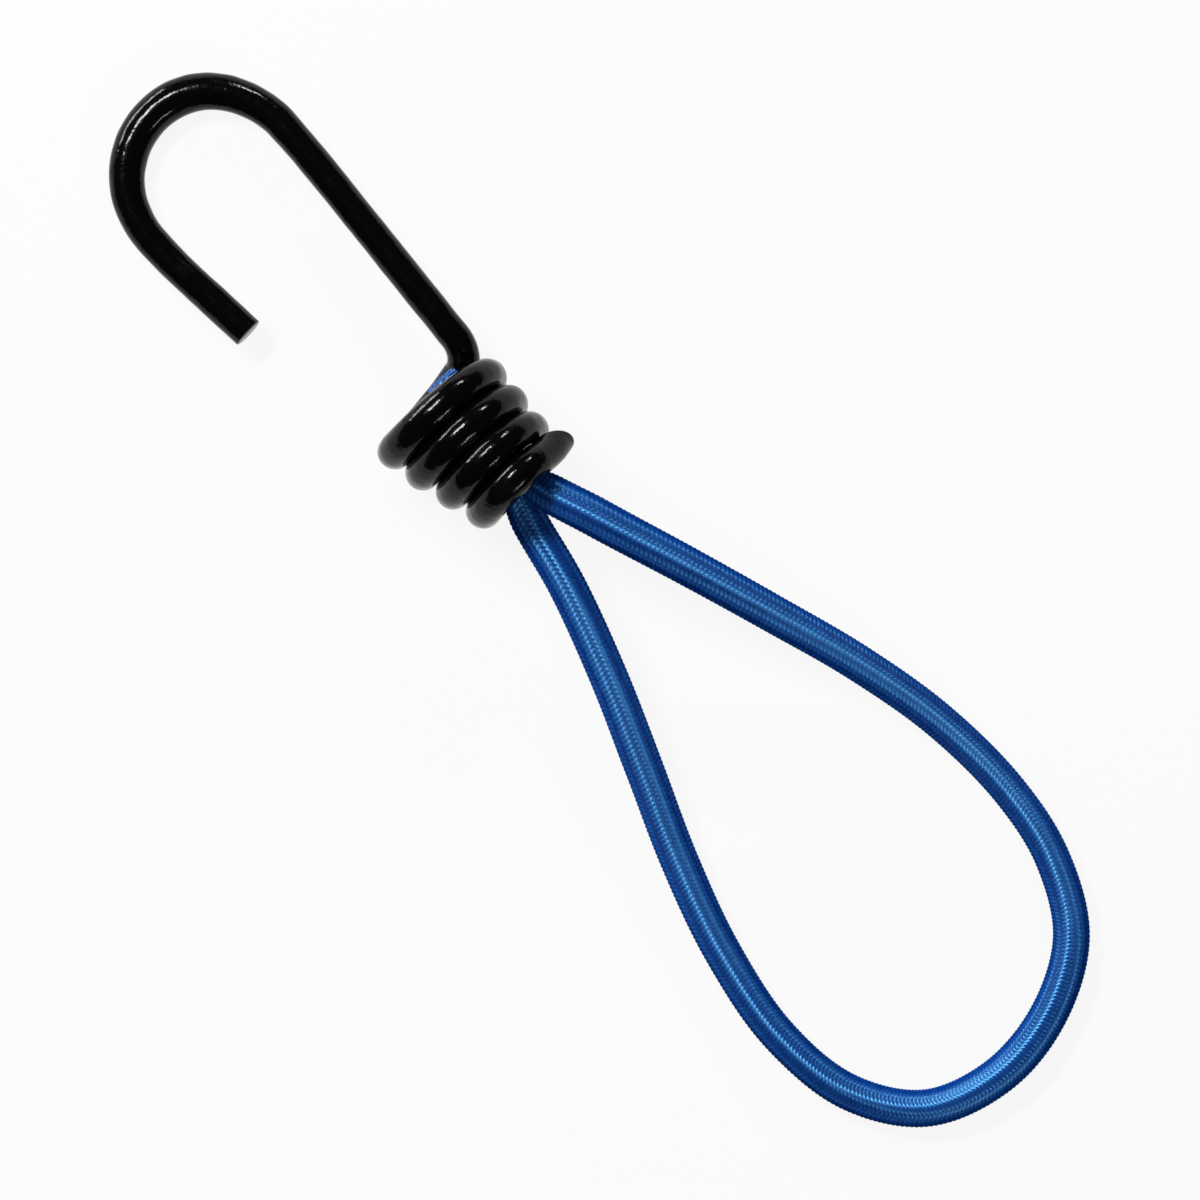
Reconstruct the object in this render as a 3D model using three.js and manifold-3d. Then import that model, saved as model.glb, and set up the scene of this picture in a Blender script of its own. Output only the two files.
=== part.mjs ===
// A bungee loop: one length of shock cord doubled into a loop, both of its ends gripped in the
// tapered coil of a plastic-coated wire hook.
// Millimetres, +Z up, +X from the hook towards the loop. The part lies on the plane z = 0, and the
// origin is on that plane, in the small flat under the coil's first turn.
import * as THREE from "three";
import { mergeVertices } from "three/addons/utils/BufferGeometryUtils.js";
import Module from "manifold-3d";

// Steel wire and the plastic jacket on it
const WIRE_DIAMETER = 3.4;
const WIRE_CLEARANCE = 0.08;
const JACKET_WALL = 0.67;
const WIRE_SIDES = 8;

// Hook: a straight tip, a round bend and a straight shank, all in one plane
const TIP_LENGTH = 21.4;
const TIP_TOE_IN = THREE.MathUtils.degToRad(8.5);
const BEND_RADIUS = 14.1;
const BEND_STEPS = 14;
const SHANK_LENGTH = 44.5;

// The jacket thickens towards the middle of the bend: by how much there, and how far either way
const BEND_SWELL = 0.65;
const BEND_SWELL_REACH = 17;

// Elbow from the shank into the coil, and the place round the coil where it arrives
const ELBOW_RADIUS = 4.8;
const ELBOW_STEPS = 4;
const ELBOW_ARRIVAL = THREE.MathUtils.degToRad(48);

// Coil: its right side runs straight along the part, and its left side draws in with every turn
const COIL_FIRST_X = 2.95;
const COIL_PITCH = 5.42;
const COIL_HALF_HEIGHT = 9.8;
const COIL_RIGHT = 9.6;
const COIL_LEFT = -10.5;
const COIL_DRAW_IN = 1.87;
const COIL_FULL_TURNS = 3;
const COIL_STEPS_PER_TURN = 20;

// Free end of the coil: straight from where it leaves the last turn, and cut on a slant
const END_LEAVES = THREE.MathUtils.degToRad(50);
const END_LENGTH = 5;
const END_SLANT = THREE.MathUtils.degToRad(33);

// Flat under the coil that the part rests on
const FLAT_DEPTH = 0.5;

// Fineness of the measurements along the coil and the cord, and of matching corners
const GAP_POINTS_PER_TURN = 90;
const ROUTE_DIVISIONS = 1200;
const DIRECTION_STEP = 1e-4;
const SAME_CORNER = 1e-4;

// Cord: a braided cover round a bundle of square rubber strands, one in the middle and two rings
const CORD_DIAMETER = 6;
const COVER_WALL = 0.6;
const COVER_SIDES = 12;
const STRAND_RINGS = [1, 6, 12];
const STRAND_SIDES = 4;
const STRAND_GAP = 0.06;
const BORE_GAP = 0.08;

// The coil squeezes the cord to this share of its width, and the cord swells out again past it
const GRIP_SHARE = 0.83;
const GRIP_RELEASE = 7;

// The cover's stretches: a leg from each cut end, and the bight between the legs
const RIGHT_LEG = 50;
const LEFT_LEG = 47;
const LEG_STEPS = 8;
const BIGHT_STEPS = 30;
const STRETCH_GAP = 0.3;

// The cord's middle line, from the cut end of the right leg to the cut end of the left one
const FLOOR = CORD_DIAMETER / 2;
const CORD_ROUTE = [
  [-0.8, 3.2, 12.6],
  [9, 3.8, 13.8],
  [19.4, 4.1, 15],
  [31.3, 8.8, 15.6],
  [46, 15.1, 13.9],
  [60.8, 21.2, 10.8],
  [75.6, 27, 7.3],
  [91, 31.4, 4.4],
  [106.9, 33.2, FLOOR],
  [119.7, 31.8, FLOOR],
  [131.4, 26.3, FLOOR],
  [138.8, 15.8, FLOOR],
  [141.5, 3.4, FLOOR],
  [138.4, -9, FLOOR],
  [128.6, -17.2, FLOOR],
  [114.4, -20.3, FLOOR],
  [98.3, -19, FLOOR],
  [82.7, -15.3, 3.9],
  [67.5, -10.4, 6],
  [52.3, -5.6, 8.5],
  [36.8, -1.7, 10.3],
  [26, -0.1, 10.2],
  [19.4, 1.1, 10.1],
  [9, -1.6, 10.6],
  [1, -3, 10.9],
];

const STEEL = { color: 0xb4b8bc, roughness: 0.35, metalness: 1 };
const BLACK_PLASTIC = { color: 0x0b0b0c, roughness: 0.22, metalness: 0 };
const BLUE_BRAID = { color: 0x1e4885, roughness: 0.7, metalness: 0 };
const LATEX = { color: 0xd8cdb4, roughness: 0.8, metalness: 0 };

const boreRadius = WIRE_DIAMETER / 2 + WIRE_CLEARANCE;
const jacketRadius = boreRadius + JACKET_WALL;
const mouthX = COIL_FIRST_X + COIL_FULL_TURNS * COIL_PITCH;

// Solids from rings of corners. Every ring runs counter-clockwise seen from the tube's far end.

// A regular polygon with a flat side down, as [across, upward] pairs round a middle point
function polygon(sides, cornerRadius, across = 0, upward = 0) {
  return Array.from({ length: sides }, (_, i) => {
    const angle = ((i + 0.5) * 2 * Math.PI) / sides;
    return [across + cornerRadius * Math.cos(angle), upward + cornerRadius * Math.sin(angle)];
  });
}

function ring(frame, section) {
  return section.map(([across, upward]) => {
    const corner = frame.point.clone();
    corner.addScaledVector(frame.side, across * frame.squeeze);
    corner.addScaledVector(frame.up, upward * frame.squeeze);
    return corner.addScaledVector(frame.tangent, frame.slant * (corner.z - frame.point.z));
  });
}

const quad = (a, b, c, d) => [a, b, c, a, c, d];
const flipped = (faces) => faces.slice().reverse();
const disc = (corners) => corners.slice(2).flatMap((c, i) => [corners[0], corners[i + 1], c]);

function washer(outer, inner) {
  return outer.flatMap((corner, i) => {
    const next = (i + 1) % outer.length;
    return quad(corner, outer[next], inner[next], inner[i]);
  });
}

function wall(rings) {
  return rings.slice(1).flatMap((far, i) =>
    rings[i].flatMap((corner, j) => {
      const next = (j + 1) % far.length;
      return quad(corner, rings[i][next], far[next], far[j]);
    }),
  );
}

const geometryOf = (faces) => new THREE.BufferGeometry().setFromPoints(faces);

function rod(frames, section) {
  const rings = frames.map((frame) => ring(frame, section));
  return geometryOf([...flipped(disc(rings[0])), ...wall(rings), ...disc(rings.at(-1))]);
}

function openTube(frames, outerSection, innerSection) {
  const outer = frames.map((frame) => ring(frame, outerSection));
  const inner = frames.map((frame) => ring(frame, innerSection));
  return geometryOf([
    ...wall(outer),
    ...flipped(wall(inner)),
    ...flipped(washer(outer[0], inner[0])),
    ...washer(outer.at(-1), inner.at(-1)),
  ]);
}

// A tube closed at its first end by a wall of the given thickness, and swollen on the outside
function cappedTube(frames, outerSection, innerSection, capWall) {
  const outer = frames.map((frame) => ring({ ...frame, squeeze: frame.swell }, outerSection));
  const inner = shortened(frames, capWall).map((frame) => ring(frame, innerSection));
  return geometryOf([
    ...wall(outer),
    ...flipped(wall(inner)),
    ...flipped(disc(outer[0])),
    ...disc(inner[0]),
    ...washer(outer.at(-1), inner.at(-1)),
  ]);
}

function shortened(frames, length) {
  const [first, ...rest] = frames;
  const point = first.point.clone().addScaledVector(first.tangent, length);
  return [{ ...first, point }, ...rest];
}

// Wire: its middle line in the hook's own frame, whose X axis is the coil's axis

function coilPoint(angle) {
  const turns = angle / (2 * Math.PI);
  const left = COIL_LEFT + COIL_DRAW_IN * turns;
  const halfWidth = (COIL_RIGHT - left) / 2;
  // The strands over the top lie square to the axis, and those underneath take the whole pitch.
  const advance = turns - (1 - Math.cos(angle)) / 4;
  return new THREE.Vector3(
    COIL_FIRST_X + COIL_PITCH * advance,
    COIL_RIGHT - halfWidth - halfWidth * Math.cos(angle),
    COIL_HALF_HEIGHT * Math.sin(angle),
  );
}

function coilDirection(angle) {
  return coilPoint(angle + DIRECTION_STEP).sub(coilPoint(angle - DIRECTION_STEP)).normalize();
}

const coilStart = ELBOW_ARRIVAL - Math.PI;
const coilEnd = (2 * COIL_FULL_TURNS + 1) * Math.PI - END_LEAVES;

function elbowPoints() {
  const along = new THREE.Vector3(1, 0, 0);
  const arrival = coilDirection(coilStart);
  const turn = Math.acos(arrival.x);
  const inward = arrival.clone().addScaledVector(along, -Math.cos(turn)).normalize();
  const pointAt = (angle) =>
    new THREE.Vector3()
      .addScaledVector(along, ELBOW_RADIUS * Math.sin(angle))
      .addScaledVector(inward, ELBOW_RADIUS * (1 - Math.cos(angle)));
  const shift = coilPoint(coilStart).sub(pointAt(turn));
  return Array.from({ length: ELBOW_STEPS }, (_, i) => pointAt((turn * i) / ELBOW_STEPS).add(shift));
}

const elbow = elbowPoints();
const shankEnd = elbow[0];
const bendMiddle = shankEnd.clone().sub(new THREE.Vector3(SHANK_LENGTH, BEND_RADIUS, 0));

function bendPoints() {
  const start = 1.5 * Math.PI + TIP_TOE_IN;
  const end = Math.PI / 2;
  return Array.from({ length: BEND_STEPS + 1 }, (_, i) => {
    const angle = start + ((end - start) * i) / BEND_STEPS;
    const spoke = new THREE.Vector3(Math.cos(angle), Math.sin(angle), 0);
    return bendMiddle.clone().addScaledVector(spoke, BEND_RADIUS);
  });
}

function coilPoints() {
  const steps = Math.round(((coilEnd - coilStart) / (2 * Math.PI)) * COIL_STEPS_PER_TURN);
  return Array.from({ length: steps + 1 }, (_, i) =>
    coilPoint(coilStart + ((coilEnd - coilStart) * i) / steps),
  );
}

function wirePoints() {
  const bend = bendPoints();
  const tipDirection = new THREE.Vector3(Math.cos(TIP_TOE_IN), Math.sin(TIP_TOE_IN), 0);
  const tip = bend[0].clone().addScaledVector(tipDirection, TIP_LENGTH);
  const coil = coilPoints();
  const end = coil.at(-1).clone().addScaledVector(coilDirection(coilEnd), END_LENGTH);
  return [tip, ...bend, ...elbow, ...coil, end];
}

function bendSwell(along) {
  const bendHalf = ((Math.PI + TIP_TOE_IN) / 2) * BEND_RADIUS;
  const share = (along - TIP_LENGTH - bendHalf) / BEND_SWELL_REACH;
  return 1 + (BEND_SWELL / jacketRadius) * Math.exp(-share * share);
}

// Frames along the wire, carried from ring to ring with no twist
function wireFrames(points) {
  const side = new THREE.Vector3(0, 1, 0);
  let along = 0;
  return points.map((point, i) => {
    const before = points[Math.max(i - 1, 0)];
    along += point.distanceTo(before);
    const after = points[Math.min(i + 1, points.length - 1)];
    const into = point.clone().sub(before).normalize();
    const out = after.clone().sub(point).normalize();
    const tangent = into.add(out).normalize();
    side.addScaledVector(tangent, -side.dot(tangent)).normalize();
    const isEnd = i === points.length - 1;
    return {
      point,
      tangent,
      side: side.clone(),
      up: tangent.clone().cross(side),
      squeeze: 1,
      swell: bendSwell(along),
      slant: isEnd ? Math.tan(END_SLANT) : 0,
    };
  });
}

// The least distance between the coil's turns, measured between points on their middle lines
function leastCoilGap() {
  const points = GAP_POINTS_PER_TURN * (COIL_FULL_TURNS + 1);
  const line = Array.from({ length: points + 1 }, (_, i) => {
    const angle = coilStart + ((coilEnd - coilStart) * i) / points;
    return { angle, point: coilPoint(angle) };
  });
  const distances = line.flatMap((a) =>
    line
      .filter((b) => b.angle - a.angle > Math.PI)
      .map((b) => a.point.distanceTo(b.point)),
  );
  return Math.min(...distances) - 2 * jacketRadius;
}

// The hook lies on its bend and on the coil's first turn, so the coil's axis slopes a little.
function hookPlacement() {
  const underCoil = coilPoint(-Math.PI / 2);
  const reach = underCoil.x - (bendMiddle.x - BEND_RADIUS);
  const drop = bendMiddle.z - underCoil.z;
  const slope = Math.atan2(drop, reach) - Math.asin(FLAT_DEPTH / Math.hypot(drop, reach));
  const turn = new THREE.Matrix4().makeRotationY(-slope);
  const lowest = underCoil.applyMatrix4(turn).z - jacketRadius;
  return new THREE.Matrix4().makeTranslation(0, 0, -FLAT_DEPTH - lowest).multiply(turn);
}

// Cord: rings along its route with one side always level, so that it lies flat on the floor

function cordFrame(curve, share) {
  const point = curve.getPointAt(share);
  const tangent = curve.getTangentAt(share);
  const side = new THREE.Vector3(0, 0, 1).cross(tangent).normalize();
  const up = tangent.clone().cross(side);
  point.z = Math.max(point.z, FLOOR);
  const gripped = THREE.MathUtils.smoothstep(point.x, 0, mouthX);
  const released = THREE.MathUtils.smoothstep(point.x, mouthX, mouthX + GRIP_RELEASE);
  const squeeze = 1 - (1 - GRIP_SHARE) * (gripped - released);
  return { point, tangent, side, up, squeeze, slant: 0 };
}

function cordStretches() {
  const route = CORD_ROUTE.map((p) => new THREE.Vector3(...p));
  const curve = new THREE.CatmullRomCurve3(route, false, "centripetal");
  curve.arcLengthDivisions = ROUTE_DIVISIONS;
  const length = curve.getLength();
  const stretch = (from, to, steps) =>
    Array.from({ length: steps + 1 }, (_, i) =>
      cordFrame(curve, (from + ((to - from) * i) / steps) / length),
    );
  return {
    length,
    right: stretch(0, RIGHT_LEG, LEG_STEPS),
    bight: stretch(RIGHT_LEG + STRETCH_GAP, length - LEFT_LEG - STRETCH_GAP, BIGHT_STEPS),
    left: stretch(length - LEFT_LEG, length, LEG_STEPS),
  };
}

// The strands fill the bore of the cover: each ring is one strand's spacing further out.
function strandMiddles(spacing) {
  return STRAND_RINGS.flatMap((count, ringNumber) =>
    Array.from({ length: count }, (_, i) => {
      const angle = (i * 2 * Math.PI) / count;
      const radius = ringNumber * spacing;
      return [radius * Math.cos(angle), radius * Math.sin(angle)];
    }),
  );
}

// Joins and cuts

const wasm = await Module();
wasm.setup();

function solidOf(geometry) {
  const loose = geometry.index ? geometry.toNonIndexed() : geometry;
  const bare = new THREE.BufferGeometry().setAttribute("position", loose.attributes.position);
  const merged = mergeVertices(bare, SAME_CORNER);
  return new wasm.Manifold(
    new wasm.Mesh({
      numProp: 3,
      vertProperties: merged.attributes.position.array,
      triVerts: new Uint32Array(merged.index.array),
    }),
  );
}

function cutLevel(geometry) {
  geometry.computeBoundingSphere();
  const { center, radius } = geometry.boundingSphere;
  const below = new THREE.BoxGeometry(2 * radius, 2 * radius, 2 * radius);
  below.translate(center.x, center.y, -radius);
  const mesh = solidOf(geometry).subtract(solidOf(below)).getMesh();
  return new THREE.BufferGeometry()
    .setAttribute("position", new THREE.BufferAttribute(mesh.vertProperties, 3))
    .setIndex(new THREE.BufferAttribute(mesh.triVerts, 1));
}

const bungee = new THREE.Group();

function add(name, geometry, finish) {
  geometry.computeVertexNormals();
  const mesh = new THREE.Mesh(geometry, new THREE.MeshStandardMaterial(finish));
  mesh.name = name;
  bungee.add(mesh);
}

function addHook() {
  const frames = wireFrames(wirePoints());
  const placement = hookPlacement();
  const wireSection = polygon(WIRE_SIDES, WIRE_DIAMETER / 2);
  const boreSection = polygon(WIRE_SIDES, boreRadius);
  const jacketSection = polygon(WIRE_SIDES, jacketRadius);
  const wire = rod(shortened(frames, JACKET_WALL + WIRE_CLEARANCE), wireSection);
  const jacket = cappedTube(frames, jacketSection, boreSection, JACKET_WALL);
  add("hook_wire", wire.applyMatrix4(placement), STEEL);
  add("hook_coating", cutLevel(jacket.applyMatrix4(placement)), BLACK_PLASTIC);
}

function addCord() {
  const stretches = cordStretches();
  const coverFlats = CORD_DIAMETER / 2;
  const boreFlats = coverFlats - COVER_WALL;
  const cornerPerFlat = 1 / Math.cos(Math.PI / COVER_SIDES);
  const outer = polygon(COVER_SIDES, coverFlats * cornerPerFlat);
  const bore = polygon(COVER_SIDES, boreFlats * cornerPerFlat);
  add("cord_cover_right_leg", openTube(stretches.right, outer, bore), BLUE_BRAID);
  add("cord_cover_bight", openTube(stretches.bight, outer, bore), BLUE_BRAID);
  add("cord_cover_left_leg", openTube(stretches.left, outer, bore), BLUE_BRAID);

  const rings = STRAND_RINGS.length - 1;
  const spacing = (boreFlats - BORE_GAP + STRAND_GAP / 2) / (rings + 0.5);
  const cornerRadius = (spacing - STRAND_GAP) / 2;
  const wholeCord = [...stretches.right, ...stretches.bight, ...stretches.left];
  strandMiddles(spacing).forEach(([across, upward], i) => {
    const section = polygon(STRAND_SIDES, cornerRadius, across, upward);
    add(`rubber_strand_${String(i + 1).padStart(2, "0")}`, rod(wholeCord, section), LATEX);
  });
  return stretches.length;
}

addHook();
const cordLength = addCord();
console.log(`least gap between the coil's turns ${leastCoilGap().toFixed(2)} mm`);
console.log(`cord length ${cordLength.toFixed(1)} mm`);

export default bungee;
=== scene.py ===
"""The looks of a hooked bungee loop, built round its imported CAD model.

Sizes are millimetres in the part's frame: +X from the hook to the loop, +Z up from the floor.
Meshes turn into metres when they are made. The floor and the lamps are in metres.
"""

import math

import bpy
import numpy as np
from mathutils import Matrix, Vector, noise


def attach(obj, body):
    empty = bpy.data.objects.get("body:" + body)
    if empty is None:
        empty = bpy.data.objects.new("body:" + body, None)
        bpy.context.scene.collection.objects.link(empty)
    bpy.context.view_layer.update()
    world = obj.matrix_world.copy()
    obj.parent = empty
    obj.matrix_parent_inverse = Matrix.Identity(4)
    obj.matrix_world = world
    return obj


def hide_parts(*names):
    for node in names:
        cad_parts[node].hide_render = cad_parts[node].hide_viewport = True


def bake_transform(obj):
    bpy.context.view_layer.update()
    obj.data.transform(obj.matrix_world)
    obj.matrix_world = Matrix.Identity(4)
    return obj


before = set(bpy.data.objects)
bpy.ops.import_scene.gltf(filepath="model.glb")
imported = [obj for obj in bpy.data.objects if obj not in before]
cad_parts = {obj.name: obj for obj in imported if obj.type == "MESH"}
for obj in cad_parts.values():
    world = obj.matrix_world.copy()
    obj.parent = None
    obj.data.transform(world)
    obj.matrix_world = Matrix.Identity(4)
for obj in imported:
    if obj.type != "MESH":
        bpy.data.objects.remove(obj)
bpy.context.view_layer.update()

MM = 0.001
TURN = 2 * math.pi

# Camera, straight above the part
VIEW_CENTRE = (41.8, 1.0)
VIEW_LEVEL = 8.0
VIEW_WIDTH = 192.0
VIEW_TURN = math.radians(51.3)
LENS = 200.0
SENSOR = 36.0

# Hook: a straight tip, a round bend and a straight shank
WIRE_RADIUS = 2.45
TIP_LENGTH = 21.4
TIP_TOE_IN = math.radians(8.5)
BEND_RADIUS = 14.1
SHANK_LENGTH = 44.5
ELBOW_RADIUS = 4.8
ELBOW_ARRIVAL = math.radians(48)

# Where the real bend is not quite round: a flatter shoulder and a tip that hangs lower
SHOULDER_X = -57.0
SHOULDER_REACH = 9.0
SHOULDER_DROP = 0.65
SHOULDER_INWARD = (0.5, -0.85, 0.0)
TIP_DROP = 0.65
TIP_DROP_FROM_X = -54.0
TIP_DROP_TO_X = -42.0
TIP_OUTWARD = (0.0, -1.0, 0.0)
HOOK_MIDDLE_Y = -4.8
HOOK_ENDS_FROM_X = -20.0
HOOK_ENDS_TO_X = -10.0

# Coil that grips the cord, and its free end
COIL_FIRST_X = 2.95
COIL_PITCH = 5.42
COIL_LEAN = 0.25
COIL_HALF_HEIGHT = 9.8
COIL_RIGHT = 9.6
COIL_LEFT = -10.2
COIL_DRAW_IN = 1.87
COIL_FIRST_DRAW_IN = 0.5
COIL_FULL_TURNS = 3
END_LEAVES = math.radians(50)
END_LENGTH = 6.0
END_BEND = 0.7
END_SLANT = math.radians(33)
END_SKEW = math.radians(36)
FLAT_DEPTH = 0.5
COIL_START = ELBOW_ARRIVAL - math.pi
COIL_END = (2 * COIL_FULL_TURNS + 1) * math.pi - END_LEAVES
MOUTH_X = COIL_FIRST_X + COIL_FULL_TURNS * COIL_PITCH

# Plastic coating: thicker in the bend and where the coil's turns touch, with a wavy surface
COAT_STRAIGHT = 2.6
COAT_COIL = 2.67
COAT_COIL_LEFT = 2.85
COAT_SWELL = 0.55
COAT_SWELL_PLACE = 0.55
COAT_SWELL_LENGTH = 17.0
COAT_WAVE = 0.06
COAT_WAVE_LENGTH = 2.6
COAT_TIP_EDGE = 0.2
COAT_END_EDGE = 0.4
COAT_SIDES = 32
COAT_STEP = 0.4
COAT_END_STEP = 0.12

# Cord: a braided cover round rubber strands
CORD_RADIUS = 3.0
BORE_RADIUS = 2.35
GRIP_SHARE = 0.83
GRIP_RELEASE = 5.0
RIGHT_LEG = 50.0
LEFT_LEG = 47.0
CURVE_STEPS = 300
TANGENT_REACH = 0.6
ON_FLOOR = CORD_RADIUS
CORD_ROUTE = [
    (-0.8, 3.2, 12.6),
    (9, 3.8, 13.8),
    (19.4, 4.1, 15),
    (31.3, 8.8, 15.6),
    (46, 15.1, 13.9),
    (60.8, 21.2, 10.8),
    (75.6, 27, 7.3),
    (91, 31.4, 4.4),
    (106.9, 33.2, ON_FLOOR),
    (119.7, 31.8, ON_FLOOR),
    (131.4, 26.3, ON_FLOOR),
    (138.8, 15.8, ON_FLOOR),
    (141.5, 3.4, ON_FLOOR),
    (138.4, -9, ON_FLOOR),
    (128.6, -17.2, ON_FLOOR),
    (114.4, -20.3, ON_FLOOR),
    (98.3, -19, ON_FLOOR),
    (82.7, -15.3, 3.9),
    (67.5, -10.4, 6),
    (52.3, -5.6, 8.5),
    (36.8, -1.7, 10.3),
    (26, -0.1, 10.2),
    (19.4, 1.1, 10.1),
    (9, -1.6, 10.6),
    (1, -3, 10.9),
]

# Slight changes of the cord's thickness, as pairs of share of its length and factor
CORD_THICKNESS = [
    (0, 1),
    (0.1, 1.09),
    (0.17, 1.05),
    (0.27, 1.02),
    (0.39, 0.98),
    (0.5, 1.05),
    (0.62, 0.98),
    (0.72, 1.05),
    (0.8, 1.09),
    (0.88, 1.05),
    (1, 1),
]

# Braid: columns of short slanting bars, which lean one way and the other by turns
COLUMNS = 8
COLUMN_CORNERS = 6
COLUMN_START = math.radians(72)
COLUMN_START_AT = 245.0
COLUMN_TWIST = math.radians(-0.3)
COLUMN_DEPTH_LEGS = 0.3
COLUMN_DEPTH_BIGHT = 0.15
COLUMN_ROUNDNESS = 2.2
BAR_SPACING_LEGS = 0.83
BAR_SPACING_BIGHT = 0.66
BAR_TABLE_STEPS = 4000
BAR_RINGS = 6
BAR_DEPTH = 0.17
BAR_ROUNDNESS = 0.7
BORE_SIDES = 12
YARN_SHIFT = 7.3
FILAMENTS_PER_MM = (9.0, 0.9, 1.0)

# Rubber strands inside, as in the CAD model
STRAND_RINGS = (1, 6, 12)
STRAND_SPACING = 0.94
STRAND_RADIUS = 0.46
STRAND_SIDES = 6
STRAND_STEP = 1.5
STRAND_PROUD = 0.3
STRAND_RING_SEED = 100
STRAND_PROUD_SEED = 3

# Loose fibres at the cover's cut ends
FIBRES = 160
FIBRE_RADIUS = 0.08
FIBRE_TIP_SHARE = 0.45
FIBRE_LENGTH = 0.75
FIBRE_SHORTEST_SHARE = 0.6
FIBRE_ROOT = 0.5
FIBRE_INSET = 0.2
FIBRE_JITTER = 0.6
FIBRE_SPLAY_IN = -0.15
FIBRE_SPLAY_OUT = 0.1
FIBRE_SWEEP = 0.3
FIBRE_SIDES = 5
FIBRE_RINGS = 6
FIBRE_SEEDS = (2, 5, 7, 11, 13)

# Numbers that turn a count into a value that looks random
SCATTER_WEIGHTS = (12.9898, 78.233)
SCATTER_SCALE = 43758.5453

# A direction that no strand or fibre follows
ROD_REFERENCE = (0.31, 0.17, 0.94)

# Colours, as linear red, green and blue, and alpha
# Gap colour: painted shade, darker where the bars leave gaps between them
BRAID_GAP_SHADE = (0.0002, 0.005, 0.06, 1)
BRAID_BAR = (0.0012, 0.027, 0.18, 1)
# Crest colour: a painted highlight, lighter and paler on the tops of the bars
BRAID_CREST_HIGHLIGHT = (0.004, 0.055, 0.275, 1)
BRAID_LIGHTER = (0.013, 0.095, 0.36, 1)
BRAID_FADED = (0.0015, 0.028, 0.16, 1)
BRAID_GLOSS = (0.15, 0.53, 1, 1)
FIBRE_DEEP = (0.004, 0.045, 0.28, 1)
FIBRE_PALE = (0.05, 0.2, 0.62, 1)
FIBRE_GLOSS = (0.5, 0.8, 1, 1)
RUBBER_DULL = (0.42, 0.38, 0.28, 1)
RUBBER_PALE = (0.62, 0.57, 0.44, 1)
COAT_BLACK = (0.001, 0.001, 0.0011, 1)
COAT_SCUFFED = (0.003, 0.003, 0.0032, 1)
STEEL_DULL = (0.45, 0.45, 0.46, 1)
STEEL_BRIGHT = (0.66, 0.66, 0.67, 1)
FLOOR_GREY = (0.6, 0.6, 0.6, 1)
WHITE = (1, 1, 1, 1)

# Floor, in metres, and the share of plain white that the camera sees there
FLOOR_HALF = 8.0
FLOOR_LEVEL = -0.0001
FLOOR_WHITE = 0.9

# Lamps: direction from the part, distance and size in metres, and radiance
LAMPS = {
    "key": ((-0.6, -0.05, 0.78), 1.0, (0.35, 0.12), 70),
    "shank_side": ((-0.6, 0.68, 0.42), 1.0, (0.15, 0.12), 50),
    "hook_side": ((-0.97, -0.2, 0.15), 1.0, (0.6, 0.13), 26),
    "loop_side": ((0.81, 0.02, 0.59), 1.0, (0.35, 0.045), 38),
    "overhead": ((0.0, 0.15, 1.0), 1.5, (1.4, 1.4), 0.5),
}
LAMPS_NOT_MIRRORED = ("overhead",)
WORLD_LIGHT = 0.04

# The range that most values of a noise lie in
NOISE_SPAN = (0.3, 0.7)

# Numbers of the colour sockets of a Mix node
MIX_FACTOR = 0
MIX_A = 6
MIX_B = 7
MIX_RESULT = 2


def camera_above():
    """The camera of the photo, which looks straight down."""
    data = bpy.data.cameras.new("camera")
    data.lens = LENS
    data.sensor_width = SENSOR
    camera = bpy.data.objects.new("camera", data)
    height = VIEW_LEVEL + VIEW_WIDTH * LENS / SENSOR
    camera.location = Vector((*VIEW_CENTRE, height)) * MM
    camera.rotation_euler = (0, 0, VIEW_TURN)
    bpy.context.scene.collection.objects.link(camera)
    bpy.context.scene.camera = camera


# Numbers and directions


def unit(vectors):
    return vectors / np.linalg.norm(vectors, axis=-1, keepdims=True)


def smoothstep(x, low, high):
    t = np.clip((x - low) / (high - low), 0, 1)
    return t * t * (3 - 2 * t)


def scatter(*numbers):
    """Repeatable values from 0 to 1 that look random, from whole numbers or arrays of them."""
    mixed = sum(n * weight for n, weight in zip(numbers, SCATTER_WEIGHTS))
    return np.modf(np.abs(np.sin(mixed) * SCATTER_SCALE))[0]


def lengths_along(line):
    """The distance of each point from the line's start."""
    steps = np.linalg.norm(np.diff(line, axis=0), axis=1)
    return np.concatenate([[0.0], np.cumsum(steps)])


def spokes(side, up, sides):
    """Unit spokes round each place on a line, from its side and up directions."""
    angle = np.arange(sides) * TURN / sides
    return np.cos(angle)[:, None] * side[:, None] + np.sin(angle)[:, None] * up[:, None]


# Meshes from rings of corners


def mesh_object(name, points, faces):
    mesh = bpy.data.meshes.new(name)
    mesh.from_pydata((np.asarray(points) * MM).tolist(), [], faces)
    mesh.shade_smooth()
    piece = bpy.data.objects.new(name, mesh)
    bpy.context.scene.collection.objects.link(piece)
    return piece


def wall(rings, sides, first=0):
    """Faces round a tube, whose rings of corners start at the corner number first."""
    faces = []
    for i in range(rings - 1):
        near = first + i * sides
        far = near + sides
        for j in range(sides):
            k = (j + 1) % sides
            faces.append((near + j, near + k, far + k, far + j))
    return faces


def flipped(faces):
    return [face[::-1] for face in faces]


def rim(outer, outer_sides, inner, inner_sides):
    """Faces from a fine outer ring to a coarse inner ring in one plane, facing along the tube."""
    ratio = outer_sides // inner_sides
    faces = []
    for k in range(inner_sides):
        this = inner + k
        following = inner + (k + 1) % inner_sides
        for i in range(ratio):
            a = k * ratio + i
            b = (a + 1) % outer_sides
            faces.append((outer + a, outer + b, this))
        faces.append((outer + (k + 1) * ratio % outer_sides, following, this))
    return faces


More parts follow.
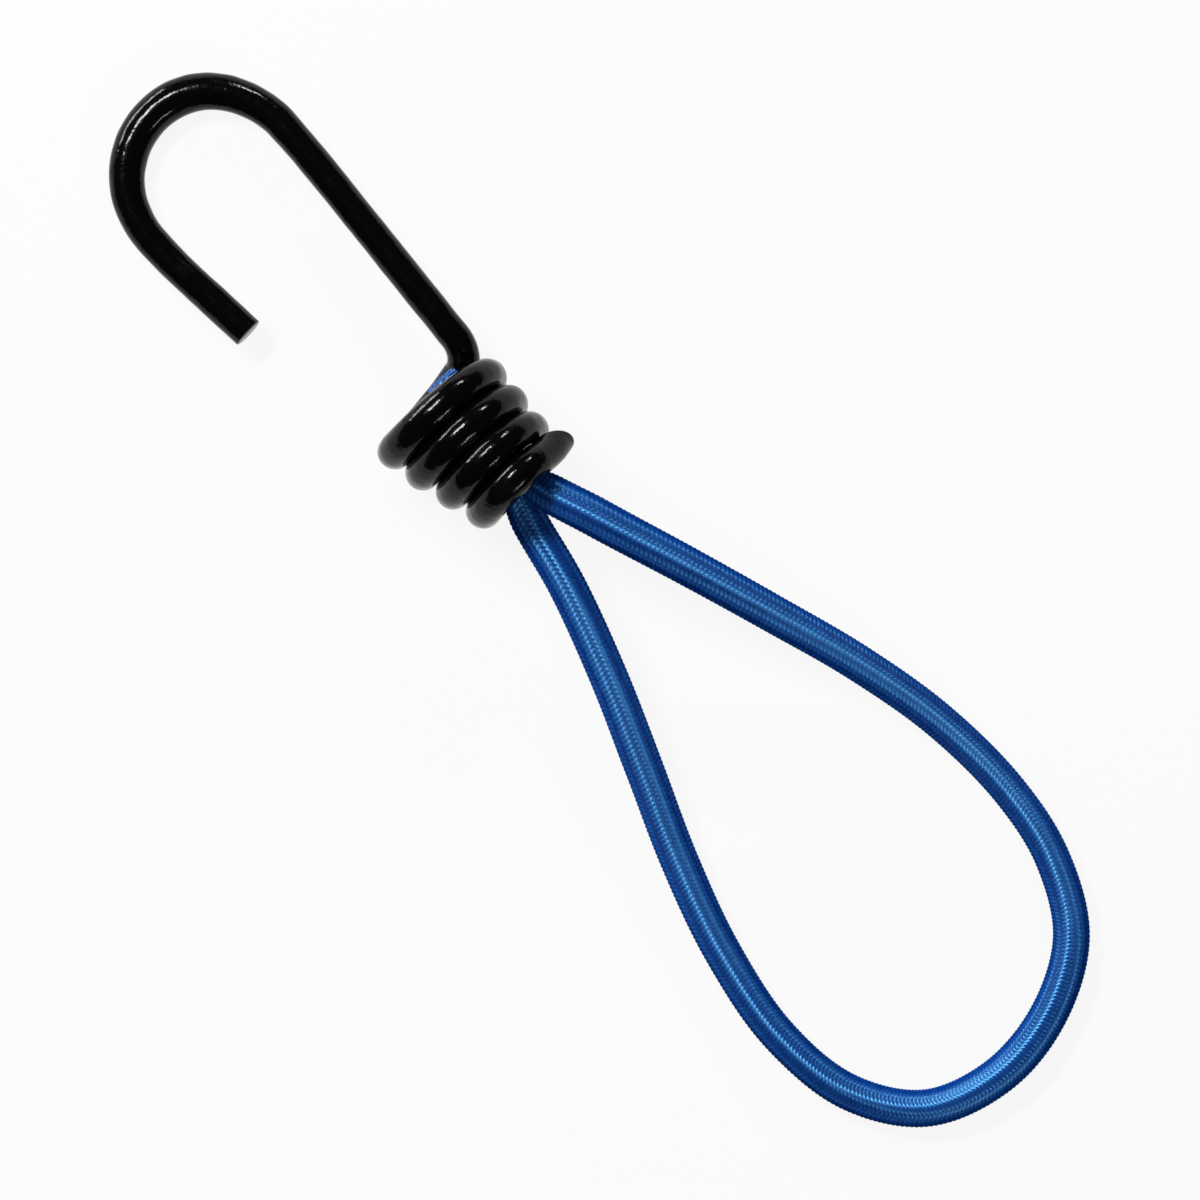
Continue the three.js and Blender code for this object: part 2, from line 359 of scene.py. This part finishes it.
def hollow_tube(rings, sides, inner_rings, inner_sides):
    """Faces of a tube with a bore; its corners are the outer rings and then the inner ones."""
    first_inner = rings * sides
    last_outer = first_inner - sides
    last_inner = first_inner + (inner_rings - 1) * inner_sides
    faces = wall(rings, sides)
    faces += flipped(wall(inner_rings, inner_sides, first_inner))
    faces += flipped(rim(0, sides, first_inner, inner_sides))
    faces += rim(last_outer, sides, last_inner, inner_sides)
    return faces


def rods(name, middles, radius, sides):
    """One mesh of separate round rods; middles is a list of lines of points."""
    points = []
    faces = []
    for number, line in enumerate(middles):
        tangent = unit(np.gradient(line, axis=0))
        side = unit(np.cross(ROD_REFERENCE, tangent))
        ring = spokes(side, np.cross(tangent, side), sides)
        corners = line[:, None] + radius[:, None, None] * ring
        first = number * len(line) * sides
        last = first + (len(line) - 1) * sides
        faces += wall(len(line), sides, first)
        faces.append(tuple(range(first, first + sides))[::-1])
        faces.append(tuple(range(last, last + sides)))
        points.append(corners.reshape(-1, 3))
    return mesh_object(name, np.vstack(points), faces)


def add_values(piece, label, values):
    """A named number at each corner; the corners past the given ones get zero."""
    numbers = np.zeros(len(piece.data.vertices), np.float32)
    numbers[: values.size] = values.ravel()
    attribute = piece.data.attributes.new(label, "FLOAT", "POINT")
    attribute.data.foreach_set("value", numbers)


def add_directions(piece, label, directions):
    attribute = piece.data.attributes.new(label, "FLOAT_VECTOR", "POINT")
    attribute.data.foreach_set("vector", directions.ravel().astype(np.float32))


# The cord's middle line


def centripetal(points, steps):
    """Points on the centripetal Catmull-Rom curve through the given points."""
    padded = np.vstack([2 * points[0] - points[1], points, 2 * points[-1] - points[-2]])
    t = np.linspace(0, 1, steps, endpoint=False)[:, None]
    stretches = []
    for a, b, c, d in zip(padded, padded[1:], padded[2:], padded[3:]):
        ab, bc, cd = (math.sqrt(np.linalg.norm(q - p)) for p, q in ((a, b), (b, c), (c, d)))
        leave = bc * ((b - a) / ab - (c - a) / (ab + bc) + (c - b) / bc)
        arrive = bc * ((c - b) / bc - (d - b) / (bc + cd) + (d - c) / cd)
        square = 3 * (c - b) - 2 * leave - arrive
        cube = 2 * (b - c) + leave + arrive
        stretches.append(b + t * (leave + t * (square + t * cube)))
    return np.vstack([*stretches, points[-1:]])


CORD_LINE = centripetal(np.array(CORD_ROUTE, float), CURVE_STEPS)
CORD_ALONG = lengths_along(CORD_LINE)
CORD_LENGTH = CORD_ALONG[-1]


def cord_points(s):
    points = np.column_stack([np.interp(s, CORD_ALONG, CORD_LINE[:, k]) for k in range(3)])
    points[:, 2] = np.maximum(points[:, 2], ON_FLOOR)
    return points


class CordFrames:
    """Places along the cord: middle points, level side directions, up directions and thickness."""

    def __init__(self, s):
        before = np.clip(s - TANGENT_REACH, 0, CORD_LENGTH)
        after = np.clip(s + TANGENT_REACH, 0, CORD_LENGTH)
        self.s = s
        self.tangent = unit(cord_points(after) - cord_points(before))
        self.side = unit(np.cross((0, 0, 1), self.tangent))
        self.up = np.cross(self.tangent, self.side)
        self.point = cord_points(s)
        x = self.point[:, 0]
        gripped = smoothstep(x, 0, MOUTH_X) - smoothstep(x, MOUTH_X, MOUTH_X + GRIP_RELEASE)
        shares, factors = zip(*CORD_THICKNESS)
        thickness = np.interp(s / CORD_LENGTH, shares, factors)
        self.scale = thickness * (1 - (1 - GRIP_SHARE) * gripped)
        lowest = self.scale * CORD_RADIUS
        self.point[:, 2] = np.maximum(self.point[:, 2], lowest)

    def corners(self, angle, radius):
        """Corners at the given angles round the cord; radius is the one before any squeeze."""
        across = (radius * np.cos(angle))[..., None] * self.side[:, None]
        upward = (radius * np.sin(angle))[..., None] * self.up[:, None]
        return self.point[:, None] + self.scale[:, None, None] * (across + upward)


# The braided cover


def legs_to_bight(s, legs, bight):
    """A value that turns smoothly from the legs' to the bight's, and back."""
    return legs + (bight - legs) * np.sin(math.pi * s / CORD_LENGTH) ** 2


def bar_table():
    """Places along the cord, and the number of braid bars from its first end to each."""
    s = np.linspace(0, CORD_LENGTH, BAR_TABLE_STEPS)
    spacing = legs_to_bight(s, BAR_SPACING_LEGS, BAR_SPACING_BIGHT)
    per_step = (s[1] - s[0]) * (1 / spacing[1:] + 1 / spacing[:-1]) / 2
    return s, np.concatenate([[0.0], np.cumsum(per_step)])


BAR_S, BAR_COUNT = bar_table()


def braid(name, start, end):
    """A hollow length of braided cover, from start to end along the cord, and its middle line."""
    bars = np.interp([start, end], BAR_S, BAR_COUNT)
    count = round((bars[1] - bars[0]) * BAR_RINGS)
    bars = np.linspace(bars[0], bars[1], count + 1)
    frames = CordFrames(np.interp(bars, BAR_COUNT, BAR_S))

    # Outside: each corner's column, its place across the column and its place on a bar
    sides = COLUMNS * COLUMN_CORNERS
    column = np.repeat(np.arange(COLUMNS), COLUMN_CORNERS)
    across = np.tile((np.arange(COLUMN_CORNERS) * 2 + 1) / COLUMN_CORNERS - 1, COLUMNS)
    twist = COLUMN_START + COLUMN_TWIST * (frames.s - COLUMN_START_AT)
    angle = twist[:, None] + (column + across / 2) * TURN / COLUMNS
    bar = bars[:, None] + np.where(column % 2, across / 2 + 0.5, -across / 2)
    number = np.round(bar)
    offset = bar - number
    bar_height = np.cos(math.pi * offset) ** BAR_ROUNDNESS
    column_depth = legs_to_bight(frames.s, COLUMN_DEPTH_LEGS, COLUMN_DEPTH_BIGHT)[:, None]
    depth = BAR_DEPTH * (1 - bar_height) + column_depth * np.abs(across) ** COLUMN_ROUNDNESS
    outside = frames.corners(angle, CORD_RADIUS - depth)

    # Bore: a ring for every second bar
    bore_rings = np.linspace(0, count, count // BAR_RINGS // 2 + 1)
    bore_rings = np.unique(np.round(bore_rings).astype(int))
    bore = CordFrames(frames.s[bore_rings])
    bore_turn = np.arange(BORE_SIDES) * TURN / BORE_SIDES
    bore_angle = angle[bore_rings, :1] + bore_turn + TURN / sides
    inside = bore.corners(bore_angle, np.full_like(bore_angle, BORE_RADIUS))

    points = np.vstack([outside.reshape(-1, 3), inside.reshape(-1, 3)])
    faces = hollow_tube(count + 1, sides, len(bore_rings), BORE_SIDES)
    piece = mesh_object(name, points, faces)

    # What the material reads: height, tone and place on the yarn, and the way that the cord runs
    tone = scatter(number, column)
    spacing = np.gradient(frames.s)[:, None] * BAR_RINGS
    yarn_along = across * math.pi * CORD_RADIUS / COLUMNS
    add_values(piece, "height", 1 - depth / (BAR_DEPTH + column_depth))
    add_values(piece, "tone", tone)
    add_values(piece, "yarn_across", offset * spacing)
    add_values(piece, "yarn_along", yarn_along + YARN_SHIFT * tone)
    outer_lay = np.repeat(frames.tangent, sides, axis=0)
    inner_lay = np.repeat(bore.tangent, BORE_SIDES, axis=0)
    add_directions(piece, "lay", np.vstack([outer_lay, inner_lay]))
    path = [Vector(p) * MM for p in frames.point]
    return piece, path


# Rubber strands and loose fibres


def strand_places():
    """Each strand's distance from the cord's middle, its angle and a number of its own."""
    return [
        (number * STRAND_SPACING, TURN * i / count, number * STRAND_RING_SEED + i)
        for number, count in enumerate(STRAND_RINGS)
        for i in range(count)
    ]


def strands(name, start, end):
    """The rubber strands from start to end; at a cut end they stand out by uneven lengths."""
    count = math.ceil((end - start) / STRAND_STEP)
    frames = CordFrames(np.linspace(start, end, count + 1))
    middles = []
    for radius, angle, seed in strand_places():
        angles = np.full((count + 1, 1), angle)
        line = frames.corners(angles, np.full_like(angles, radius))[:, 0]
        proud = STRAND_PROUD * scatter(seed, seed + STRAND_PROUD_SEED)
        if start == 0:
            line[0] -= proud * frames.tangent[0]
        if end == CORD_LENGTH:
            line[-1] += proud * frames.tangent[-1]
        middles.append(line)
    return rods(name, middles, STRAND_RADIUS * frames.scale, STRAND_SIDES)


def fibres(name, s, outward):
    """Loose fibres at a cut end; outward is the sense along the cord that leaves it."""
    frames = CordFrames(np.array([s]))
    out = outward * frames.tangent[0]
    side = frames.side[0]
    up = frames.up[0]
    t = np.linspace(0, 1, FIBRE_RINGS)[:, None]
    middles = []
    for i in range(FIBRES):
        turned, deep, long, splayed, swept = (scatter(i, seed) for seed in FIBRE_SEEDS)
        angle = TURN * (i + FIBRE_JITTER * turned) / FIBRES
        radius = BORE_RADIUS + (CORD_RADIUS - BORE_RADIUS - FIBRE_INSET) * deep
        spoke = math.cos(angle) * side + math.sin(angle) * up
        around = math.cos(angle) * up - math.sin(angle) * side
        length = FIBRE_LENGTH * (FIBRE_SHORTEST_SHARE + (1 - FIBRE_SHORTEST_SHARE) * long)
        splay = length * (FIBRE_SPLAY_IN + (FIBRE_SPLAY_OUT - FIBRE_SPLAY_IN) * splayed)
        sweep = length * FIBRE_SWEEP * (swept - 0.5)
        root = frames.point[0] + frames.scale[0] * radius * spoke - FIBRE_ROOT * out
        drift = splay * spoke + sweep * around
        middles.append(root + (length + FIBRE_ROOT) * t * out + t**2 * drift)
    taper = FIBRE_RADIUS * np.linspace(1, FIBRE_TIP_SHARE, FIBRE_RINGS)
    return rods(name, middles, taper, FIBRE_SIDES)


# The wire's middle line, in the hook's own frame


def coil_point(angle):
    """A place on the coil; each turn crosses the cord on top and takes its pitch underneath."""
    turns = angle / TURN
    draw_in = COIL_DRAW_IN * turns + COIL_FIRST_DRAW_IN * np.maximum(0, 1 - turns) ** 2
    half_width = (COIL_RIGHT - COIL_LEFT - draw_in) / 2
    advance = turns - COIL_LEAN * (1 - np.cos(angle))
    return np.stack(
        [
            COIL_FIRST_X + COIL_PITCH * advance,
            COIL_RIGHT - half_width - half_width * np.cos(angle),
            COIL_HALF_HEIGHT * np.sin(angle),
        ],
        axis=-1,
    )


def coil_direction(angle):
    step = 1e-4
    return unit(coil_point(angle + step) - coil_point(angle - step))


def coil_angles():
    rough = (COIL_END - COIL_START) * COIL_HALF_HEIGHT / COAT_STEP
    return np.linspace(COIL_START, COIL_END, math.ceil(rough))


def straight(start, end, step=COAT_STEP):
    """Points from start up to, but without, end."""
    count = math.ceil(np.linalg.norm(end - start) / step)
    return start + np.linspace(0, 1, count, endpoint=False)[:, None] * (end - start)


def elbow_points():
    """The round elbow that takes the shank into the coil's first turn."""
    along = np.array((1.0, 0, 0))
    arrival = coil_direction(COIL_START)
    turn = math.acos(arrival[0])
    inward = unit(arrival - math.cos(turn) * along)
    angle = np.linspace(0, turn, math.ceil(turn * ELBOW_RADIUS / COAT_STEP) + 1)[:, None]
    arc = ELBOW_RADIUS * (np.sin(angle) * along + (1 - np.cos(angle)) * inward)
    return (arc + coil_point(COIL_START) - arc[-1])[:-1]


def bend_points(middle):
    """The hook's round bend, from the tip's side to the shank's."""
    start = 1.5 * math.pi + TIP_TOE_IN
    end = math.pi / 2
    angle = np.linspace(start, end, math.ceil((start - end) * BEND_RADIUS / COAT_STEP))
    arc = np.column_stack([np.cos(angle), np.sin(angle), 0 * angle])
    return middle + BEND_RADIUS * arc


def free_end_points(start):
    """The wire's last stretch, which leaves the coil straight on and bends back a little."""
    share = np.linspace(0, 1, math.ceil(END_LENGTH / COAT_END_STEP) + 1)[:, None]
    back = np.array((-END_BEND, 0, 0))
    return start + share * END_LENGTH * coil_direction(COIL_END) + share**2 * back


def out_of_round(line):
    """The hook's line with the bend's small departures from a round arc."""
    x = line[:, 0]
    upper = smoothstep(line[:, 1], HOOK_MIDDLE_Y, HOOK_MIDDLE_Y + BEND_RADIUS)
    before_coil = 1 - smoothstep(x, HOOK_ENDS_FROM_X, HOOK_ENDS_TO_X)
    shoulder = SHOULDER_DROP * upper * np.exp(-(((x - SHOULDER_X) / SHOULDER_REACH) ** 2))
    tip = TIP_DROP * (1 - upper) * smoothstep(x, TIP_DROP_FROM_X, TIP_DROP_TO_X) * before_coil
    inward = shoulder[:, None] * np.array(SHOULDER_INWARD)
    outward = tip[:, None] * np.array(TIP_OUTWARD)
    return line + inward + outward


def hook_placement(bend_middle):
    """The turn and lift that lay the hook on its bend and on its coil's first turn."""
    under = coil_point(np.array(-math.pi / 2))
    reach = under[0] - (bend_middle[0] - BEND_RADIUS)
    drop = bend_middle[2] - under[2]
    slope = math.atan2(drop, reach) - math.asin(FLAT_DEPTH / math.hypot(drop, reach))
    turn = np.array(
        [
            [math.cos(slope), 0, -math.sin(slope)],
            [0, 1, 0],
            [math.sin(slope), 0, math.cos(slope)],
        ]
    )
    lowest = (turn @ under)[2] - WIRE_RADIUS
    return turn, np.array((0, 0, -FLAT_DEPTH - lowest))


def wire_line():
    """The whole wire from tip to free end, and how far left each place on its coil is, 0 to 1."""
    elbow = elbow_points()
    bend_middle = elbow[0] - np.array((SHANK_LENGTH, BEND_RADIUS, 0))
    bend = bend_points(bend_middle)
    tip = bend[0] + TIP_LENGTH * np.array((math.cos(TIP_TOE_IN), math.sin(TIP_TOE_IN), 0))
    tip_edge = tip + 2 * COAT_TIP_EDGE * unit(bend[0] - tip)
    angles = coil_angles()
    coil = coil_point(angles)
    free_end = free_end_points(coil[-1])
    line = np.vstack(
        [
            straight(tip, tip_edge, COAT_TIP_EDGE / 2),
            straight(tip_edge, bend[0]),
            bend[:-1],
            straight(bend[-1], elbow[0]),
            elbow,
            coil[:-1],
            free_end,
        ]
    )
    after = len(free_end)
    left = np.zeros(len(line))
    left[-after - len(angles) + 1 : -after] = (1 + np.cos(angles[:-1])) / 2
    turn, lift = hook_placement(bend_middle)
    return out_of_round(line) @ turn.T + lift, left


# The plastic coat


def carried_sides(tangent):
    """Side directions carried along a line with no twist."""
    side = np.array((0.0, 1.0, 0.0))
    sides = []
    for t in tangent:
        side = unit(side - side.dot(t) * t)
        sides.append(side)
    return np.array(sides)


def coat_radius(s, left):
    """The coat's radius: swollen in the bend, fuller on the coil and rounded at both ends."""
    swell_at = TIP_LENGTH + COAT_SWELL_PLACE * math.pi * BEND_RADIUS
    swell = COAT_SWELL * np.exp(-(((s - swell_at) / COAT_SWELL_LENGTH) ** 2))
    shank_end = TIP_LENGTH + (math.pi + TIP_TOE_IN) * BEND_RADIUS + SHANK_LENGTH
    on_coil = smoothstep(s, shank_end, shank_end + 2 * ELBOW_RADIUS)
    coil_radius = COAT_COIL + (COAT_COIL_LEFT - COAT_COIL) * left
    radius = COAT_STRAIGHT + swell + (coil_radius - COAT_STRAIGHT) * on_coil
    for edge, from_end in ((COAT_TIP_EDGE, s), (COAT_END_EDGE, s[-1] - s)):
        inset = np.clip(edge - from_end, 0, edge)
        radius = radius - (edge - np.sqrt(edge**2 - inset**2))
    return radius


def coating():
    """The plastic coat: a long tube with soft edges at the square tip and the slanting end."""
    line, left = wire_line()
    s = lengths_along(line)
    tangent = unit(np.gradient(line, axis=0))
    side = carried_sides(tangent)
    ring = spokes(side, np.cross(tangent, side), COAT_SIDES)
    corners = line[:, None] + coat_radius(s, left)[:, None, None] * ring

    # The free end's slanting cut, which the coat comes to over the whole stretch
    share = np.clip((s - (s[-1] - END_LENGTH)) / END_LENGTH, 0, 1)
    beside = corners - line[:, None]
    slant = math.tan(END_SLANT) * beside[..., 2] + math.tan(END_SKEW) * beside[..., 0]
    corners = corners + (slant * share[:, None])[..., None] * tangent[:, None]

    waves = [noise.noise(Vector(p) / COAT_WAVE_LENGTH) for p in corners.reshape(-1, 3)]
    corners = corners + COAT_WAVE * np.reshape(waves, ring.shape[:2])[..., None] * ring
    corners[..., 2] = np.maximum(corners[..., 2], 0)

    faces = wall(len(line), COAT_SIDES)
    last = (len(line) - 1) * COAT_SIDES
    tip_middle = len(line) * COAT_SIDES
    end_middle = tip_middle + 1
    for j in range(COAT_SIDES):
        k = (j + 1) % COAT_SIDES
        faces.append((k, j, tip_middle))
        faces.append((last + j, last + k, end_middle))
    middles = np.array([corners[0].mean(axis=0), corners[-1].mean(axis=0)])
    return mesh_object("hook_coat", np.vstack([corners.reshape(-1, 3), middles]), faces)


# Materials


class Shader:
    """A new material with its Principled shader, and short ways to add and join nodes."""

    def __init__(self, name):
        self.material = bpy.data.materials.new(name)
        self.material.use_nodes = True
        self.tree = self.material.node_tree
        self.surface = self.tree.nodes["Principled BSDF"]

    def set(self, **values):
        for name, value in values.items():
            self.surface.inputs[name.replace("_", " ")].default_value = value

    def wire(self, output, socket):
        self.tree.links.new(output, self.surface.inputs[socket])

    def node(self, kind, inputs=None, **settings):
        node = self.tree.nodes.new("ShaderNode" + kind)
        for name, value in settings.items():
            setattr(node, name, value)
        for name, value in (inputs or {}).items():
            self.feed(value, node.inputs[name])
        return node

    def feed(self, value, socket):
        if isinstance(value, bpy.types.NodeSocket):
            self.tree.links.new(value, socket)
        else:
            socket.default_value = value

    def attribute(self, name, output="Fac"):
        return self.node("Attribute", attribute_name=name).outputs[output]

    def noise(self, size, detail):
        """Noise whose spots are about size millimetres across."""
        place = self.node("TexCoord").outputs["Object"]
        inputs = {"Vector": place, "Scale": 1 / (size * MM), "Detail": detail}
        return self.node("TexNoise", inputs).outputs["Fac"]

    def math(self, operation, a, b):
        return self.node("Math", {0: a, 1: b}, operation=operation).outputs[0]

    def spread(self, value, span, to=(0, 1)):
        """A value turned from one span of numbers to another, and held within it."""
        inputs = {
            "Value": value,
            "From Min": span[0],
            "From Max": span[1],
            "To Min": to[0],
            "To Max": to[1],
        }
        return self.node("MapRange", inputs).outputs["Result"]

    def mix(self, factor, a, b):
        inputs = {MIX_FACTOR: factor, MIX_A: a, MIX_B: b}
        return self.node("Mix", inputs, data_type="RGBA").outputs[MIX_RESULT]

    def bump(self, height, distance, strength, normal=None):
        """A normal bent by a height of at most distance millimetres."""
        inputs = {"Height": height, "Distance": distance * MM, "Strength": strength}
        if normal:
            inputs["Normal"] = normal
        return self.node("Bump", inputs).outputs["Normal"]


def braid_colour(shader, height):
    """Dark in the gaps, which is painted shade, and brighter on the bars, with a painted highlight
    on their crests, some lighter bars and faded stretches.
    """
    # The dark colour towards the gaps is painted shade
    bars = shader.mix(shader.spread(height, (0.1, 0.6)), BRAID_GAP_SHADE, BRAID_BAR)
    # The lighter, paler colour on the crests is a painted highlight
    painted_shade_and_highlight = shader.mix(shader.spread(height, (0.6, 0.95)), bars, BRAID_CREST_HIGHLIGHT)
    lighter = shader.spread(shader.attribute("tone"), (0, 1), to=(0, 0.3))
    faded = shader.spread(shader.noise(size=14, detail=3), (0.35, 0.7), to=(0, 0.3))
    return shader.mix(faded, shader.mix(lighter, painted_shade_and_highlight, BRAID_LIGHTER), BRAID_FADED)


def filaments(shader):
    """Noise drawn out along each bar's yarn."""
    inputs = {"X": shader.attribute("yarn_across"), "Y": shader.attribute("yarn_along")}
    yarn = shader.node("CombineXYZ", inputs).outputs[0]
    inputs = {0: yarn, 1: FILAMENTS_PER_MM}
    drawn_out = shader.node("VectorMath", inputs, operation="MULTIPLY").outputs[0]
    inputs = {"Vector": drawn_out, "Scale": 1, "Detail": 2}
    return shader.node("TexNoise", inputs).outputs["Fac"]


def braid_material():
    """Blue braid that shines on its bars where it faces the eye, and is dull between them."""
    shader = Shader("blue_braid")
    shader.set(IOR=2.2, Specular_Tint=BRAID_GLOSS)
    height = shader.attribute("height")
    shader.wire(braid_colour(shader, height), "Base Color")
    facing = shader.node("LayerWeight", {"Blend": 0.5}).outputs["Facing"]
    seen_squarely = shader.spread(facing, (0.1, 0.35), to=(1, 0))
    on_bars = shader.spread(height, (0.25, 0.85), to=(0.1, 1))
    shader.wire(shader.math("MULTIPLY", seen_squarely, on_bars), "Specular IOR Level")
    filament = filaments(shader)
    shader.wire(shader.spread(filament, NOISE_SPAN, to=(0.38, 0.48)), "Roughness")
    shader.wire(shader.spread(height, (0, 1), to=(0.7, 0.95)), "Anisotropic")
    shader.wire(shader.attribute("lay", "Vector"), "Tangent")
    fuzz = shader.noise(size=0.12, detail=2)
    ridges = shader.bump(filament, distance=0.008, strength=0.6)
    shader.wire(shader.bump(fuzz, distance=0.006, strength=0.5, normal=ridges), "Normal")
    return shader.material


def coat_material():
    """Glossy black plastic with a faint orange peel, a fine grain and a few dull scuffs."""
    shader = Shader("black_coating")
    shader.set(Specular_IOR_Level=0.17)
    scuff = shader.spread(shader.noise(size=9, detail=4), (0.6, 0.78))
    grain = shader.noise(size=0.45, detail=3)
    shader.wire(shader.mix(scuff, COAT_BLACK, COAT_SCUFFED), "Base Color")
    grain_roughness = shader.spread(grain, NOISE_SPAN, to=(0.1, 0.17))
    scuff_roughness = shader.spread(scuff, (0, 1), to=(0, 0.12))
    shader.wire(shader.math("ADD", grain_roughness, scuff_roughness), "Roughness")
    peel = shader.bump(shader.noise(size=1.5, detail=2), distance=0.13, strength=0.6)
    shader.wire(shader.bump(grain, distance=0.018, strength=0.6, normal=peel), "Normal")
    return shader.material


def steel_material():
    shader = Shader("steel_wire")
    shader.set(Metallic=1)
    streaks = shader.noise(size=0.7, detail=4)
    shader.wire(shader.mix(streaks, STEEL_DULL, STEEL_BRIGHT), "Base Color")
    shader.wire(shader.spread(streaks, NOISE_SPAN, to=(0.25, 0.42)), "Roughness")
    return shader.material


def rubber_material():
    shader = Shader("latex_rubber")
    shader.set(Specular_IOR_Level=0.35)
    dust = shader.noise(size=0.5, detail=4)
    shader.wire(shader.mix(dust, RUBBER_DULL, RUBBER_PALE), "Base Color")
    shader.wire(shader.spread(dust, NOISE_SPAN, to=(0.55, 0.8)), "Roughness")
    shader.wire(shader.bump(dust, distance=0.03, strength=0.5), "Normal")
    return shader.material


def fibre_material():
    shader = Shader("blue_fibres")
    shader.set(Specular_IOR_Level=0.6, Sheen_Weight=0.2, Specular_Tint=FIBRE_GLOSS)
    shade = shader.noise(size=0.6, detail=2)
    shader.wire(shader.mix(shade, FIBRE_DEEP, FIBRE_PALE), "Base Color")
    shader.wire(shader.spread(shade, NOISE_SPAN, to=(0.35, 0.55)), "Roughness")
    return shader.material


def finish_with(piece, material):
    piece.data.materials.clear()
    piece.data.materials.append(material)


# Floor and light


def floor_material():
    """White to the camera and in reflections; the rest of it is grey and takes the shadow."""
    shader = Shader("floor")
    shader.set(Base_Color=FLOOR_GREY, Roughness=0.9, Specular_IOR_Level=0.1)
    rays = shader.node("LightPath").outputs
    seen = shader.math("MAXIMUM", rays["Is Camera Ray"], rays["Is Glossy Ray"])
    seen = shader.math("MAXIMUM", seen, rays["Is Transmission Ray"])
    share = shader.math("MULTIPLY", seen, FLOOR_WHITE)
    glow = shader.node("Emission", {"Color": WHITE, "Strength": 1}).outputs[0]
    both = shader.node("MixShader", {0: share, 1: shader.surface.outputs[0], 2: glow}).outputs[0]
    output = shader.tree.nodes["Material Output"]
    shader.feed(both, output.inputs["Surface"])
    return shader.material


def white_floor():
    signs = ((-1, -1), (1, -1), (1, 1), (-1, 1))
    corners = [(x * FLOOR_HALF, y * FLOOR_HALF, FLOOR_LEVEL) for x, y in signs]
    mesh = bpy.data.meshes.new("floor")
    mesh.from_pydata(corners, [], [(0, 1, 2, 3)])
    mesh.materials.append(floor_material())
    floor = bpy.data.objects.new("floor", mesh)
    bpy.context.scene.collection.objects.link(floor)


def softbox(name, direction, distance, size, radiance):
    """An area lamp that faces the part from the given direction."""
    data = bpy.data.lights.new(name, "AREA")
    data.shape = "RECTANGLE"
    data.size, data.size_y = size
    data.energy = radiance * math.pi * size[0] * size[1]
    lamp = bpy.data.objects.new(name, data)
    centre = Vector((*VIEW_CENTRE, VIEW_LEVEL)) * MM
    toward = Vector(direction).normalized()
    lamp.location = centre + distance * toward
    lamp.rotation_euler = toward.to_track_quat("Z", "Y").to_euler()
    lamp.visible_camera = False
    lamp.visible_glossy = name not in LAMPS_NOT_MIRRORED
    bpy.context.scene.collection.objects.link(lamp)


def studio_light():
    world = bpy.data.worlds.new("studio")
    bpy.context.scene.world = world
    world.use_nodes = True
    background = world.node_tree.nodes["Background"]
    background.inputs["Color"].default_value = WHITE
    background.inputs["Strength"].default_value = WORLD_LIGHT
    for name, settings in LAMPS.items():
        softbox(name, *settings)


# The pieces, what the hook's pieces ride on, and the CAD parts that they take the place of


def build_cord():
    """The cord's three lengths, the two legs and the loop, each a braided cover round rubber
    strands, in place of the CAD model's cord.
    """
    loop_end = CORD_LENGTH - LEFT_LEG
    stretches = {
        "right_leg": (0.0, RIGHT_LEG),
        "loop": (RIGHT_LEG, loop_end),
        "left_leg": (loop_end, CORD_LENGTH),
    }
    blue = braid_material()
    latex = rubber_material()
    for label, (start, end) in stretches.items():
        cover, path = braid("braid_" + label, start, end)
        core = strands("rubber_" + label, start, end)
        finish_with(cover, blue)
        finish_with(core, latex)
        for piece in (cover, core):
            if label == "loop":
                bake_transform(piece)
            else:
                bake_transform(piece)
        if label == "left_leg":
            path = path[::-1]

    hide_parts("cord_cover_right_leg")
    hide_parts("cord_cover_bight")
    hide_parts("cord_cover_left_leg")
    strand_nodes = [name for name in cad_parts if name.startswith("rubber_strand_")]
    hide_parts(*strand_nodes)


def build_frayed_ends():
    """The loose fibres of the cover's two cut ends, which stay in the coil."""
    fluff = fibre_material()
    for label, s, outward in (("right", 0.0, -1), ("left", CORD_LENGTH, 1)):
        piece = fibres("fibres_" + label, s, outward)
        finish_with(piece, fluff)
        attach(piece, "hook")


def build_hook():
    """The coat, and the CAD model's own wire inside it."""
    coat = coating()
    finish_with(coat, coat_material())
    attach(coat, "hook")
    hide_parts("hook_coating")
    finish_with(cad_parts["hook_wire"], steel_material())


camera_above()
build_cord()
build_frayed_ends()
build_hook()
white_floor()
studio_light()
bpy.context.scene.view_settings.view_transform = "Standard"
